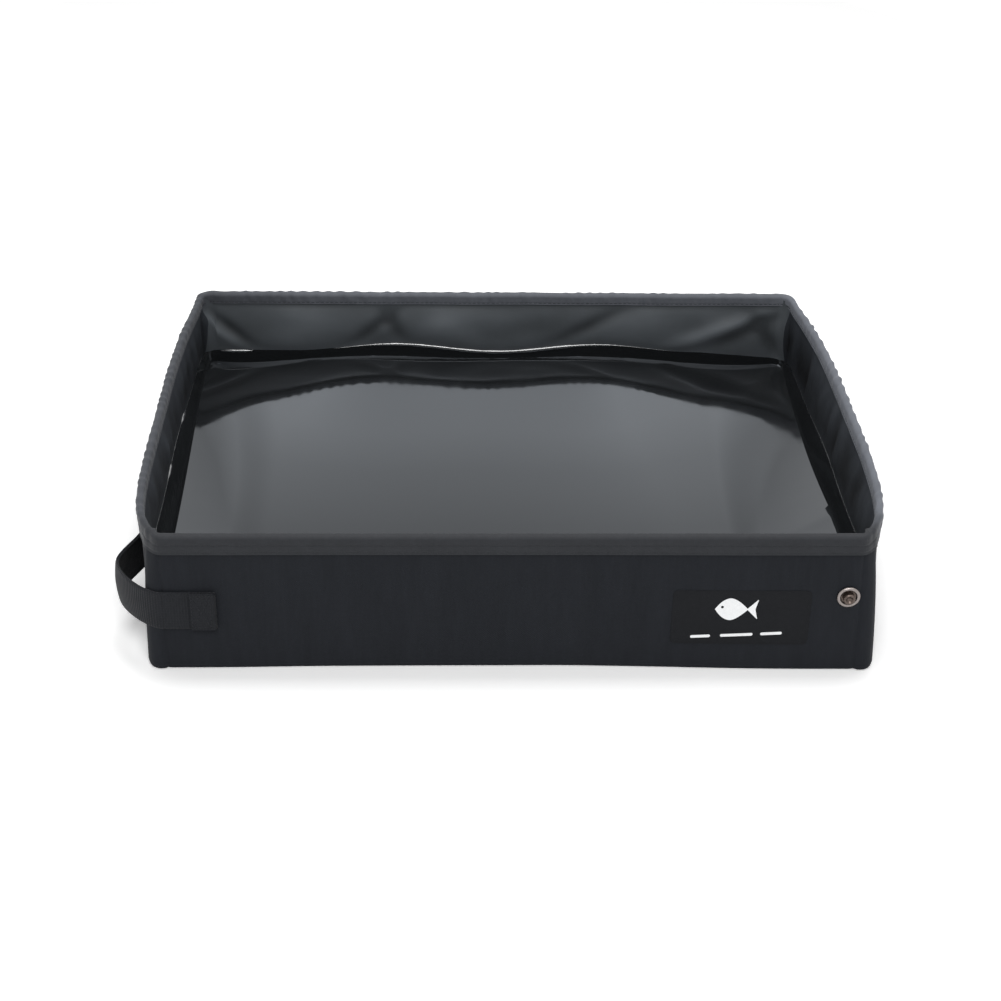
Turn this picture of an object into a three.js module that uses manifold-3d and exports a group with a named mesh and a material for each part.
// Foldable litter box, opened: a base in two halves joined by a cloth spine, a stiff front and back wall,
// soft side walls, a hanging film tub, a bound rim, a webbing handle and a press stud.
// Millimetres, +Z up, X across the front, Y towards the back, origin on the ground under the spine's middle.

import * as THREE from 'three';
import { mergeVertices } from 'three/addons/utils/BufferGeometryUtils.js';
import Module from 'manifold-3d';

const wasm = await Module();
wasm.setup();

// Overall size, across the outer cloth and up to the rim
const WIDTH = 400;
const DEPTH = 300;
const HEIGHT = 86;
const CORNER_RADIUS = 10;

// Room kept between neighbours
const CLEARANCE = 0.3;

// Sheets that make up the walls and the base
const OUTER_CLOTH = 0.9;
const LINING = 0.6;
const WALL_BOARD = 2.2;
const BASE_BOARD = 2.5;
const BASE_CLOTH = 0.8;

// Side walls without boards lean and bow outwards towards the rim
const BOW_LEFT = 8;
const BOW_RIGHT = 11;
const BOW_RISE_POWER = 1.5;
const BOW_END_POWER = 3;

// Loose upright folds in the side lining, above the film
const FOLD_DEPTH = 1.6;
const FOLD_PITCH = 52;

// Folded tape that binds the rim
const TAPE = 0.8;
const TAPE_OUTSIDE = 11;
const TAPE_INSIDE = 7;
const TAPE_ROUND = 0.6;

// Folding: room for the film under the folded walls, and for the bowed sides between the two folded halves
const FILM_ROOM = 1.5;
const PANEL_ROOM = 0.9;
const FOLDED_GAP = 12;

// Film tub: a skirt hangs down the wall lining from a seam, and a shallow bowl sags onto the base
const FILM_SHEET = 0.9;
const SEAM_HEIGHT = 43.5;
const SEAM_RISE = 5;
const SEAM_HUMP = 140;
const SKIRT = 0.8;
const BACK_RISE = 34;
const BACK_RUN = 220;
const BACK_POWER = 2.4;
const FRONT_RISE = 30;
const FRONT_RUN = 110;
const FRONT_POWER = 2.2;
const SIDE_RISE = 17;
const SIDE_RUN = 54;
const SIDE_POWER = 2;

// Webbing handle round the front left corner
const WEBBING = 1.6;
const WEBBING_WIDTH = 24;
const HANDLE_HEIGHT = 38;
const HANDLE_FRONT_TAB = 29;
const HANDLE_FRONT_FOLD = 13;
const HANDLE_SIDE_START = 88;
const HANDLE_SIDE_TAB = 30;
const HANDLE_LEAVE = 24;
const HANDLE_REACH = 34;
const HANDLE_RETURN = 58;

// Press stud on the front wall and its socket on the back wall
const STUD_HEIGHT = 46.4;
const STUD_FROM_EDGE = 15.3;
const FLANGE_RADIUS = 6.6;
const FLANGE = 1.2;
const KNOB_RADIUS = 3.5;
const KNOB_NECK = 0.4;
const KNOB = 2.4;
const POST_RADIUS = 1.7;
const SOCKET = 3.4;
const SOCKET_DEPTH = 2.2;
const SOCKET_PLAY = 0.5;
const WASHER = 0.6;
const WASHER_RADIUS = 5;

// Bare printed patch on the front wall
const PATCH = 0.4;
const PATCH_WIDTH = 76;
const PATCH_TALL = 35;
const PATCH_FROM_EDGE = 36;
const PATCH_FOOT = 17;
const PATCH_ROUND = 3;

// Number of facets
const ROUND_STEPS = 24;
const CORNER_STEPS = 6;
const TAPE_ROUND_STEPS = 3;
const SIDE_STEPS = 9;
const CLOTH_RISE_STEPS = 5;
const LINING_RISE_STEPS = 8;
const FILM_STEPS_X = 24;
const FILM_STEPS_Y = 12;
const LOOP_STEPS = 16;

// Sizes that follow
const halfWidth = WIDTH / 2;
const halfDepth = DEPTH / 2;
const panelHalf = halfWidth - CORNER_RADIUS;
const sideHalf = halfDepth - CORNER_RADIUS;
const wallStack = OUTER_CLOTH + WALL_BOARD + LINING;
const softStack = OUTER_CLOTH + CLEARANCE + LINING;
const cornerStack = OUTER_CLOTH + LINING;
const wallTop = HEIGHT - TAPE - CLEARANCE;
const floorTop = BASE_CLOTH + BASE_BOARD;
const sideHingeHeight = floorTop + FILM_ROOM;
const wallHingeHeight = sideHingeHeight + softStack + PANEL_ROOM;
const foldedHalf = wallHingeHeight - BASE_CLOTH + wallStack + CLEARANCE + TAPE;
const spineWidth = 2 * foldedHalf + FOLDED_GAP;
const studX = halfWidth - STUD_FROM_EDGE;
const bowSizes = { left: BOW_LEFT, right: BOW_RIGHT };
const signs = { left: -1, right: 1, front: -1, back: 1 };

function material(color, roughness, metalness = 0) {
  return new THREE.MeshStandardMaterial({ color, roughness, metalness, side: THREE.DoubleSide });
}

const finishes = {
  cloth: () => material(0x27282a, 0.85),
  lining: () => material(0x31363c, 0.45),
  tape: () => material(0x2d3032, 0.8),
  board: () => material(0x8c8f92, 0.7),
  film: () => material(0x141516, 0.18),
  webbing: () => material(0x202123, 0.8),
  metal: () => material(0xb9b6ae, 0.3, 0.9),
  patch: () => material(0x1d1e20, 0.5),
};

function piece(name, geometry, finish, parent) {
  const mesh = new THREE.Mesh(geometry, finishes[finish]());
  mesh.name = name;
  parent.add(mesh);
  return mesh;
}

// A closed mesh from points and triangles, turned so that its faces point out
function closedMesh(points, triangles) {
  let volume = 0;
  const cross = new THREE.Vector3();
  for (const [a, b, c] of triangles) {
    volume += points[a].dot(cross.crossVectors(points[b], points[c]));
  }
  const index = volume > 0 ? triangles.flat() : triangles.flatMap(([a, b, c]) => [a, c, b]);
  const geometry = new THREE.BufferGeometry().setFromPoints(points);
  geometry.setIndex(index);
  return geometry;
}

// A sheet with two faces given on a grid, stitched together round its edge
function sheet(columns, rows, face, back) {
  const points = [];
  for (const side of [face, back]) {
    for (const column of columns) {
      for (const row of rows) points.push(side(column, row));
    }
  }
  const tall = rows.length;
  const layer = columns.length * tall;
  const triangles = [];
  const quad = (a, b, c, d) => triangles.push([a, b, c], [a, c, d]);
  for (let i = 0; i < columns.length - 1; i++) {
    for (let j = 0; j < tall - 1; j++) {
      const a = i * tall + j;
      quad(a, a + tall, a + tall + 1, a + 1);
      quad(layer + a, layer + a + 1, layer + a + tall + 1, layer + a + tall);
    }
    const low = i * tall;
    const high = low + tall - 1;
    quad(low, layer + low, layer + low + tall, low + tall);
    quad(high, high + tall, layer + high + tall, layer + high);
  }
  const lastColumn = layer - tall;
  for (let j = 0; j < tall - 1; j++) {
    quad(j, j + 1, layer + j + 1, layer + j);
    quad(lastColumn + j, layer + lastColumn + j, layer + lastColumn + j + 1, lastColumn + j + 1);
  }
  return closedMesh(points, triangles);
}

// A section carried past a row of stations and capped at both ends
function loft(stations, section, place) {
  const points = stations.flatMap((station) => section.map((corner) => place(station, corner)));
  const count = section.length;
  const triangles = [];
  for (let i = 0; i < stations.length - 1; i++) {
    for (let j = 0; j < count; j++) {
      const next = (j + 1) % count;
      const a = i * count + j;
      const b = i * count + next;
      triangles.push([a, b, b + count], [a, b + count, a + count]);
    }
  }
  const last = (stations.length - 1) * count;
  for (const [a, b, c] of THREE.ShapeUtils.triangulateShape(section, [])) {
    triangles.push([c, b, a], [last + a, last + b, last + c]);
  }
  return closedMesh(points, triangles);
}

function steps(from, to, count) {
  return Array.from({ length: count + 1 }, (_, i) => from + ((to - from) * i) / count);
}

function box(low, high) {
  const size = new THREE.Vector3().subVectors(high, low);
  const geometry = new THREE.BoxGeometry(size.x, size.y, size.z);
  geometry.translate(...new THREE.Vector3().addVectors(low, high).multiplyScalar(0.5).toArray());
  return geometry;
}

function solid(geometry) {
  const bare = geometry.clone();
  bare.deleteAttribute('normal');
  bare.deleteAttribute('uv');
  const merged = mergeVertices(bare);
  return new wasm.Manifold(new wasm.Mesh({
    numProp: 3,
    vertProperties: merged.attributes.position.array,
    triVerts: Uint32Array.from(merged.index.array),
  }));
}

function cut(geometry, tools) {
  let result = solid(geometry);
  for (const tool of tools) result = result.subtract(solid(tool));
  const mesh = result.getMesh();
  const cutGeometry = new THREE.BufferGeometry();
  cutGeometry.setAttribute('position', new THREE.BufferAttribute(mesh.vertProperties, mesh.numProp));
  cutGeometry.setIndex(new THREE.BufferAttribute(mesh.triVerts, 1));
  return cutGeometry;
}

// A round tool or turned piece lies along Y, its own +Y turned to face out of the wall it belongs to
function drill(radius, wall, from, to) {
  const geometry = new THREE.CylinderGeometry(radius, radius, Math.abs(to - from), ROUND_STEPS);
  geometry.translate(studX, signs[wall] * (from + to) / 2, STUD_HEIGHT);
  return geometry;
}

function turned(profile, wall, outFrom) {
  const geometry = new THREE.LatheGeometry(profile, ROUND_STEPS);
  if (wall === 'front') geometry.rotateX(Math.PI);
  geometry.translate(studX, signs[wall] * outFrom, STUD_HEIGHT);
  return geometry;
}

// Outward bow of a soft side wall at a place on it
function bow(side, y, z) {
  const along = 1 - Math.min(1, Math.abs(y) / sideHalf) ** BOW_END_POWER;
  return bowSizes[side] * along * Math.max(0, z / HEIGHT) ** BOW_RISE_POWER;
}

// Loose folds of the lining, nil at the film seam and under the binding
function liningFold(y, z) {
  const low = SEAM_HEIGHT + SEAM_RISE;
  const high = HEIGHT - TAPE_INSIDE - TAPE;
  const rise = THREE.MathUtils.clamp((z - low) / (high - low), 0, 1);
  return FOLD_DEPTH * Math.sin(Math.PI * rise) ** 2 * Math.sin((Math.PI * y) / FOLD_PITCH) ** 2;
}

// Section of the binding: (distance outside the wall's outer face, height)
function bindingSection(stack) {
  const outFace = CLEARANCE + TAPE;
  const inFace = -stack - CLEARANCE - TAPE;
  const underTop = wallTop + CLEARANCE;
  const round = Math.min(TAPE_ROUND, (TAPE + CLEARANCE) / 2);
  const arc = (centre, from) => steps(from, from + Math.PI / 2, TAPE_ROUND_STEPS).map((angle) =>
    new THREE.Vector2(centre + round * Math.cos(angle), HEIGHT - round + round * Math.sin(angle)));
  return [
    new THREE.Vector2(CLEARANCE, HEIGHT - TAPE_OUTSIDE),
    new THREE.Vector2(outFace, HEIGHT - TAPE_OUTSIDE),
    ...arc(outFace - round, 0),
    ...arc(inFace + round, Math.PI / 2),
    new THREE.Vector2(inFace, HEIGHT - TAPE_INSIDE),
    new THREE.Vector2(-stack - CLEARANCE, HEIGHT - TAPE_INSIDE),
    new THREE.Vector2(-stack - CLEARANCE, underTop),
    new THREE.Vector2(CLEARANCE, underTop),
  ];
}

// Base half: bottom cloth and stiff board, rounded at the two outer corners
function baseHalf(end, parent) {
  const sign = signs[end];
  const reachX = halfWidth - softStack - CLEARANCE;
  const reachY = halfDepth - wallStack - CLEARANCE;
  const nearY = (spineWidth + CLEARANCE) / 2;
  const round = CORNER_RADIUS - softStack;
  const outline = new THREE.Shape();
  outline.moveTo(-reachX, nearY);
  outline.lineTo(-reachX, reachY - round);
  outline.absarc(round - reachX, reachY - round, round, Math.PI, Math.PI / 2, true);
  outline.lineTo(reachX - round, reachY);
  outline.absarc(reachX - round, reachY - round, round, Math.PI / 2, 0, true);
  outline.lineTo(reachX, nearY);
  outline.closePath();
  const layers = [
    [`bottom_cloth_${end}`, BASE_CLOTH, 0, 'cloth'],
    [`base_board_${end}`, BASE_BOARD, BASE_CLOTH, 'board'],
  ];
  for (const [name, thickness, height, finish] of layers) {
    const plate = new THREE.ExtrudeGeometry(outline, {
      depth: thickness, bevelEnabled: false, curveSegments: CORNER_STEPS,
    });
    const mesh = piece(name, plate, finish, parent);
    if (sign < 0) mesh.rotation.z = Math.PI;
    mesh.position.z = height;
  }
}

// Stiff wall: outer cloth, board, lining and binding, drilled for the stud or socket
function stiffWall(end, parent) {
  const sign = signs[end];
  const reach = panelHalf - CLEARANCE / 2;
  const hole = drill(POST_RADIUS + CLEARANCE, end, halfDepth + CLEARANCE, halfDepth - OUTER_CLOTH - WALL_BOARD - CLEARANCE);
  const pocketFace = halfDepth - OUTER_CLOTH - WALL_BOARD;
  const pocket = drill(WASHER_RADIUS + CLEARANCE, end, pocketFace - CLEARANCE, pocketFace + WASHER + CLEARANCE);
  const layers = [
    [`${end}_cloth`, halfDepth, OUTER_CLOTH, [hole], 'cloth'],
    [`${end}_board`, halfDepth - OUTER_CLOTH, WALL_BOARD, [hole, pocket], 'board'],
    [`${end}_lining`, pocketFace, LINING, [], 'lining'],
  ];
  for (const [name, outer, thickness, holes, finish] of layers) {
    const faces = [sign * outer, sign * (outer - thickness)].sort((a, b) => a - b);
    const plate = box(
      new THREE.Vector3(-reach, faces[0], CLEARANCE),
      new THREE.Vector3(reach, faces[1], wallTop),
    );
    piece(name, holes.length ? cut(plate, holes) : plate, finish, parent);
  }
  const place = (x, corner) => new THREE.Vector3(x, sign * (halfDepth + corner.x), corner.y);
  piece(`${end}_binding`, loft([-reach, reach], bindingSection(wallStack), place), 'tape', parent);
  const washer = turned([
    new THREE.Vector2(POST_RADIUS + CLEARANCE, 0),
    new THREE.Vector2(WASHER_RADIUS, 0),
    new THREE.Vector2(WASHER_RADIUS, WASHER),
    new THREE.Vector2(POST_RADIUS + CLEARANCE, WASHER),
    new THREE.Vector2(POST_RADIUS + CLEARANCE, 0),
  ], end, pocketFace);
  piece(end === 'front' ? 'press_stud_washer' : 'press_socket_washer', washer, 'metal', parent);
}

// Turned snap parts: a post through the wall, a flange, and a knob or a recess for the knob
function pressStud(parent) {
  const neck = KNOB_RADIUS - KNOB_NECK;
  const top = FLANGE + KNOB;
  const edge = FLANGE / 2;
  const postEnd = -OUTER_CLOTH - WALL_BOARD - CLEARANCE;
  piece('press_stud', turned([
    new THREE.Vector2(0, postEnd),
    new THREE.Vector2(POST_RADIUS, postEnd),
    new THREE.Vector2(POST_RADIUS, 0),
    new THREE.Vector2(FLANGE_RADIUS, 0),
    new THREE.Vector2(FLANGE_RADIUS, edge),
    new THREE.Vector2(FLANGE_RADIUS - edge, FLANGE),
    new THREE.Vector2(neck, FLANGE),
    new THREE.Vector2(neck, FLANGE + KNOB / 3),
    new THREE.Vector2(KNOB_RADIUS, FLANGE + KNOB / 2),
    new THREE.Vector2(KNOB_RADIUS, top - KNOB_NECK),
    new THREE.Vector2(neck, top),
    new THREE.Vector2(0, top),
  ], 'front', halfDepth + CLEARANCE), 'metal', parent);
}

function pressSocket(parent) {
  const recess = KNOB_RADIUS + SOCKET_PLAY;
  const edge = SOCKET / 4;
  const postEnd = -OUTER_CLOTH - WALL_BOARD - CLEARANCE;
  piece('press_socket', turned([
    new THREE.Vector2(0, postEnd),
    new THREE.Vector2(POST_RADIUS, postEnd),
    new THREE.Vector2(POST_RADIUS, 0),
    new THREE.Vector2(FLANGE_RADIUS, 0),
    new THREE.Vector2(FLANGE_RADIUS, SOCKET - edge),
    new THREE.Vector2(FLANGE_RADIUS - edge, SOCKET),
    new THREE.Vector2(recess, SOCKET),
    new THREE.Vector2(recess, SOCKET - SOCKET_DEPTH),
    new THREE.Vector2(0, SOCKET - SOCKET_DEPTH),
  ], 'back', halfDepth + CLEARANCE), 'metal', parent);
}

// Soft half of a side wall: outer cloth, loose lining and binding
function softWall(side, end, parent) {
  const along = steps((signs[end] * CLEARANCE) / 2, signs[end] * (sideHalf - CLEARANCE / 2), SIDE_STEPS);
  const at = (outward) => (y, z) => new THREE.Vector3(
    signs[side] * (halfWidth + bow(side, y, z) + outward(y, z)), y, z);
  const clothRows = steps(CLEARANCE, wallTop, CLOTH_RISE_STEPS);
  const cloth = sheet(along, clothRows, at(() => 0), at(() => -OUTER_CLOTH));
  piece(`${side}_cloth_${end}`, cloth, 'cloth', parent);
  const liningRows = steps(CLEARANCE, wallTop, LINING_RISE_STEPS);
  const liningFace = OUTER_CLOTH + CLEARANCE;
  const lining = sheet(
    steps(along[0], along[SIDE_STEPS], 2 * SIDE_STEPS), liningRows,
    at((y, z) => -liningFace - liningFold(y, z)),
    at((y, z) => -liningFace - LINING - liningFold(y, z)),
  );
  piece(`${side}_lining_${end}`, lining, 'lining', parent);
  const place = (y, corner) => new THREE.Vector3(
    signs[side] * (halfWidth + bow(side, y, corner.y) + corner.x), y, corner.y);
  piece(`${side}_binding_${end}`, loft(along, bindingSection(softStack), place), 'tape', parent);
}

// Soft corner between a stiff wall and a side wall, with its own length of binding
function softCorner(side, end, parent) {
  const centreX = signs[side] * panelHalf;
  const centreY = signs[end] * sideHalf;
  const slack = CLEARANCE / 2 / CORNER_RADIUS;
  const angles = steps(slack, Math.PI / 2 - slack, CORNER_STEPS);
  const at = (radius, angle, z) => new THREE.Vector3(
    centreX + signs[side] * radius * Math.cos(angle),
    centreY + signs[end] * radius * Math.sin(angle),
    z,
  );
  const cloth = sheet(
    angles, [CLEARANCE, wallTop],
    (angle, z) => at(CORNER_RADIUS, angle, z),
    (angle, z) => at(CORNER_RADIUS - cornerStack, angle, z),
  );
  piece(`corner_cloth_${end}_${side}`, cloth, 'cloth', parent);
  const place = (angle, corner) => at(CORNER_RADIUS + corner.x, angle, corner.y);
  piece(`corner_binding_${end}_${side}`, loft(angles, bindingSection(softStack), place), 'tape', parent);
}

// Half of the film tub, on a grid whose outermost cells stand up as the skirt
function filmHalf(end, parent) {
  const reachX = halfWidth - softStack - CLEARANCE;
  const reachY = halfDepth - wallStack - CLEARANCE;
  const round = CORNER_RADIUS - softStack;
  const floor = floorTop + CLEARANCE;
  const quarter = Math.PI / 2;
  const columns = steps(-quarter, quarter, FILM_STEPS_X).map((angle) => (reachX - SKIRT) * Math.sin(angle));
  const rows = steps(quarter, 0, FILM_STEPS_Y).map((angle) => (reachY - SKIRT) * Math.sin(angle));
  columns.unshift(-reachX);
  columns.push(reachX);
  rows.unshift(reachY);
  rows[rows.length - 1] = CLEARANCE / 2;
  const share = (distance, run, power) => Math.max(0, 1 - distance / run) ** power;
  const highest = Math.max(BACK_RISE, FRONT_RISE, SIDE_RISE);
  const unionOf = (rises) => highest * (1 - rises.reduce((left, rise) => left * (1 - rise / highest), 1));
  const hump = (x) => (Math.abs(x) < SEAM_HUMP ? SEAM_RISE * Math.sin((Math.PI * x) / SEAM_HUMP) ** 2 : 0);
  const at = (lift) => (x, y) => {
    const nearSide = share(reachX - Math.abs(x), SIDE_RUN, SIDE_POWER);
    const bowl = unionOf([
      SIDE_RISE * nearSide,
      BACK_RISE * share(reachY - signs[end] * y, BACK_RUN, BACK_POWER),
      FRONT_RISE * share(reachY + signs[end] * y, FRONT_RUN, FRONT_POWER),
    ]);
    const intoSkirt = Math.max(Math.abs(x) - reachX, y - reachY) / SKIRT + 1;
    const up = THREE.MathUtils.clamp(intoSkirt, 0, 1);
    const z = THREE.MathUtils.lerp(floor + bowl, SEAM_HEIGHT + hump(x), up) + lift * FILM_SHEET;
    const overX = Math.max(0, Math.abs(x) - reachX + round);
    const overY = Math.max(0, y - reachY + round);
    const length = Math.hypot(overX, overY);
    const draw = length > 0 ? 1 - Math.max(overX, overY) / length : 0;
    const inwards = 1 - (lift * FILM_SHEET) / reachX;
    const side = x < 0 ? 'left' : 'right';
    const out = bow(side, y, Math.max(0, z - 2 * FILM_SHEET)) * nearSide;
    return new THREE.Vector3(
      (x - Math.sign(x) * overX * draw) * inwards + Math.sign(x) * out,
      signs[end] * (y - overY * draw) * (y > CLEARANCE ? inwards : 1),
      z,
    );
  };
  piece(`film_tub_${end}`, sheet(columns, rows, at(1), at(0)), 'film', parent);
}

// Cloth strip that joins the two base halves and becomes the edge of the folded pack
function spine(parent) {
  const reach = halfWidth - softStack - CLEARANCE;
  const near = (spineWidth - CLEARANCE) / 2;
  const strip = box(new THREE.Vector3(-reach, -near, 0), new THREE.Vector3(reach, near, BASE_CLOTH));
  piece('spine_cloth', strip, 'cloth', parent);
}

// Handle: a tab sewn to the front wall, a free loop round the corner and a tab sewn to the left wall
const handleFoot = HANDLE_HEIGHT - WEBBING_WIDTH / 2;
const handleTop = HANDLE_HEIGHT + WEBBING_WIDTH / 2;
const sideStart = HANDLE_SIDE_START - halfDepth;

function frontTab(parent) {
  const outer = -halfDepth - CLEARANCE;
  const start = -panelHalf + CLEARANCE;
  const end = start + HANDLE_FRONT_TAB;
  const outline = new THREE.Shape([
    new THREE.Vector2(start, outer),
    new THREE.Vector2(end, outer),
    new THREE.Vector2(end, outer - 2 * WEBBING),
    new THREE.Vector2(end - HANDLE_FRONT_FOLD, outer - 2 * WEBBING),
    new THREE.Vector2(end - HANDLE_FRONT_FOLD - WEBBING, outer - WEBBING),
    new THREE.Vector2(start, outer - WEBBING),
  ]);
  const strap = new THREE.ExtrudeGeometry(outline, { depth: WEBBING_WIDTH, bevelEnabled: false });
  piece('handle_tab_front', strap, 'webbing', parent).position.z = handleFoot;
}

function handleLoop(parent) {
  const offset = CLEARANCE + WEBBING / 2;
  const start = new THREE.Vector3(-panelHalf, -halfDepth - offset, 0);
  const endX = -halfWidth - bow('left', sideStart, handleTop) - offset;
  const end = new THREE.Vector3(endX, sideStart, 0);
  const route = new THREE.CubicBezierCurve3(
    start,
    new THREE.Vector3(start.x - HANDLE_LEAVE, start.y, 0),
    new THREE.Vector3(end.x - HANDLE_REACH, end.y - HANDLE_RETURN, 0),
    end,
  );
  const face = (sideways) => (t, z) => {
    const tangent = route.getTangent(t);
    const point = route.getPoint(t);
    return new THREE.Vector3(point.x - tangent.y * sideways, point.y + tangent.x * sideways, z);
  };
  const strap = sheet(
    steps(0, 1, LOOP_STEPS), [handleFoot, handleTop], face(WEBBING / 2), face(-WEBBING / 2));
  piece('handle_loop', strap, 'webbing', parent);
}

function sideTab(parent) {
  const along = steps(sideStart + CLEARANCE + WEBBING / 2, sideStart + HANDLE_SIDE_TAB, 2);
  const rows = steps(handleFoot, handleTop, CLOTH_RISE_STEPS);
  const at = (outward) => (y, z) => new THREE.Vector3(-halfWidth - bow('left', y, z) - outward, y, z);
  const strap = sheet(along, rows, at(CLEARANCE + WEBBING), at(CLEARANCE));
  piece('handle_tab_left', strap, 'webbing', parent);
}

function patch(parent) {
  const outline = new THREE.Shape();
  const left = halfWidth - PATCH_FROM_EDGE - PATCH_WIDTH;
  const right = halfWidth - PATCH_FROM_EDGE;
  const top = PATCH_FOOT + PATCH_TALL;
  outline.absarc(left + PATCH_ROUND, PATCH_FOOT + PATCH_ROUND, PATCH_ROUND, Math.PI, 1.5 * Math.PI);
  outline.absarc(right - PATCH_ROUND, PATCH_FOOT + PATCH_ROUND, PATCH_ROUND, 1.5 * Math.PI, 2 * Math.PI);
  outline.absarc(right - PATCH_ROUND, top - PATCH_ROUND, PATCH_ROUND, 0, Math.PI / 2);
  outline.absarc(left + PATCH_ROUND, top - PATCH_ROUND, PATCH_ROUND, Math.PI / 2, Math.PI);
  const film = new THREE.ExtrudeGeometry(outline, {
    depth: PATCH, bevelEnabled: false, curveSegments: CORNER_STEPS,
  });
  const mesh = piece('label_patch', film, 'patch', parent);
  mesh.rotation.x = Math.PI / 2;
  mesh.position.y = -halfDepth;
}

// The tray, in the groups that fold as one: the back base carries everything else
const tray = new THREE.Group();
const baseBack = new THREE.Group();
const spineGroup = new THREE.Group();
const baseFront = new THREE.Group();
const wallGroups = { front: new THREE.Group(), back: new THREE.Group() };
tray.add(baseBack);
baseBack.add(spineGroup);
spineGroup.add(baseFront);
const bases = { front: baseFront, back: baseBack };

spine(spineGroup);
for (const end of ['back', 'front']) {
  bases[end].add(wallGroups[end]);
  baseHalf(end, bases[end]);
  stiffWall(end, wallGroups[end]);
  filmHalf(end, bases[end]);
  for (const side of ['left', 'right']) {
    const sideGroup = new THREE.Group();
    bases[end].add(sideGroup);
    softWall(side, end, sideGroup);
    softCorner(side, end, bases[end]);
    if (side === 'left' && end === 'front') sideTab(sideGroup);
  }
}
pressStud(wallGroups.front);
pressSocket(wallGroups.back);
frontTab(wallGroups.front);
patch(wallGroups.front);
handleLoop(baseFront);

export default tray;
